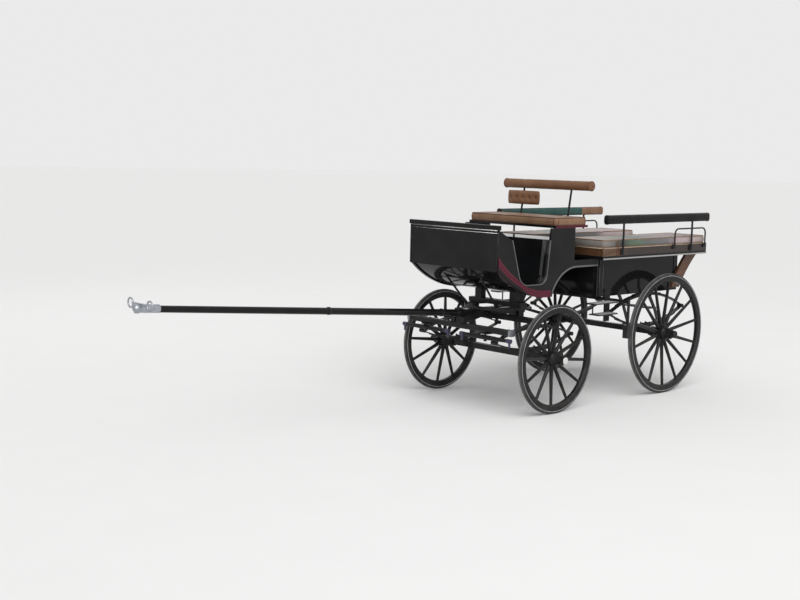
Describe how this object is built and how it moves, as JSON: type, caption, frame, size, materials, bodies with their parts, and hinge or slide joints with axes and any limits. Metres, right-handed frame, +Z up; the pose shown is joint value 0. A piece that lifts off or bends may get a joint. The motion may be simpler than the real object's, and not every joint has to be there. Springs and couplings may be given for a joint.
{
  "type": "horse drawn carriage",
  "caption": "Light open carriage with a raised driver's seat, facing side benches, elliptic springs, a turning fore-carriage and a pole with swingletrees.",
  "frame": {"origin": "on the ground, below the middle of the whole outline with its pole", "axes": "+X forward along the pole, +Y to the carriage's left, +Z up"},
  "size_m": [5.65, 1.552, 1.888],
  "materials": {
    "black_lacquer": "gloss",
    "black_wood": "gloss",
    "maroon_wood": "gloss",
    "maroon_iron": "gloss",
    "brown_varnish": "gloss",
    "black_iron": "satin",
    "green_cloth": "matte",
    "black_leather": "satin",
    "tan_leather": "satin",
    "tyre_rubber": "matte",
    "steel": "satin"
  },
  "bodies": {
    "carriage_body": {"front_sides": "black_wood", "sill_bands": "maroon_wood", "footboard": "black_wood", "dash": "black_wood", "seat_box": "black_wood", "cut_under": "black_wood", "tub_floor": "black_wood", "tub_sides": "black_wood", "rear_panels": "black_wood", "benches": "brown_varnish", "bench_frames": "black_wood", "side_cushions": "green_cloth", "side_rolls": "black_leather", "rail_irons": "black_iron", "rear_knees": "brown_varnish", "driver_bench": "black_wood", "driver_cushion": "tan_leather", "backrest_roll": "tan_leather", "lumbar_pad": "tan_leather", "top_bolster": "maroon_iron", "body_stays": "black_iron", "rear_axle": "maroon_iron", "rear_springs": "black_iron", "side_steps": "black_iron", "brake_gear": "black_iron", "rear_step": "black_iron", "whip_socket": "black_iron"},
    "fore_carriage": {"front_axle": "maroon_iron", "front_springs": "black_iron", "futchells": "maroon_wood", "lower_ring": "black_iron", "splinter_bar": "maroon_wood", "pole": "black_wood", "pole_head": "steel"},
    "left_swingletree": {"swingletree_left": "black_wood"},
    "right_swingletree": {"swingletree_right": "black_wood"},
    "door": {"rear_door": "black_wood"},
    "front_left_wheel": {"wheel_front_left": "black_wood", "tyre_front_left": "tyre_rubber"},
    "front_right_wheel": {"wheel_front_right": "black_wood", "tyre_front_right": "tyre_rubber"},
    "rear_left_wheel": {"wheel_rear_left": "black_wood", "tyre_rear_left": "tyre_rubber"},
    "rear_right_wheel": {"wheel_rear_right": "black_wood", "tyre_rear_right": "tyre_rubber"}
  },
  "joints": [
    {"name": "steering", "type": "hinge", "parent": "carriage_body", "child": "fore_carriage", "pos_m": [-0.67, 0, 0.8], "axis": [0, 0, 1], "range_deg": [-45, 45]},
    {"name": "left_swingletree_pivot", "type": "hinge", "parent": "fore_carriage", "child": "left_swingletree", "pos_m": [-0.17, 0.345, 0.634], "axis": [0, 0, 1], "range_deg": [-30, 30]},
    {"name": "right_swingletree_pivot", "type": "hinge", "parent": "fore_carriage", "child": "right_swingletree", "pos_m": [-0.17, -0.345, 0.634], "axis": [0, 0, 1], "range_deg": [-30, 30]},
    {"name": "door_hinge", "type": "hinge", "parent": "carriage_body", "child": "door", "pos_m": [-2.554, 0.22, 1.0675], "axis": [0, 0, -1], "range_deg": [0, 110]},
    {"name": "front_left_wheel_spin", "type": "hinge", "parent": "fore_carriage", "child": "front_left_wheel", "pos_m": [-0.67, 0.668, 0.45], "axis": [0, 1, 0], "continuous": true},
    {"name": "front_right_wheel_spin", "type": "hinge", "parent": "fore_carriage", "child": "front_right_wheel", "pos_m": [-0.67, -0.668, 0.45], "axis": [0, 1, 0], "continuous": true},
    {"name": "rear_left_wheel_spin", "type": "hinge", "parent": "carriage_body", "child": "rear_left_wheel", "pos_m": [-2.18, 0.668, 0.54], "axis": [0, 1, 0], "continuous": true},
    {"name": "rear_right_wheel_spin", "type": "hinge", "parent": "carriage_body", "child": "rear_right_wheel", "pos_m": [-2.18, -0.668, 0.54], "axis": [0, 1, 0], "continuous": true}
  ]
}
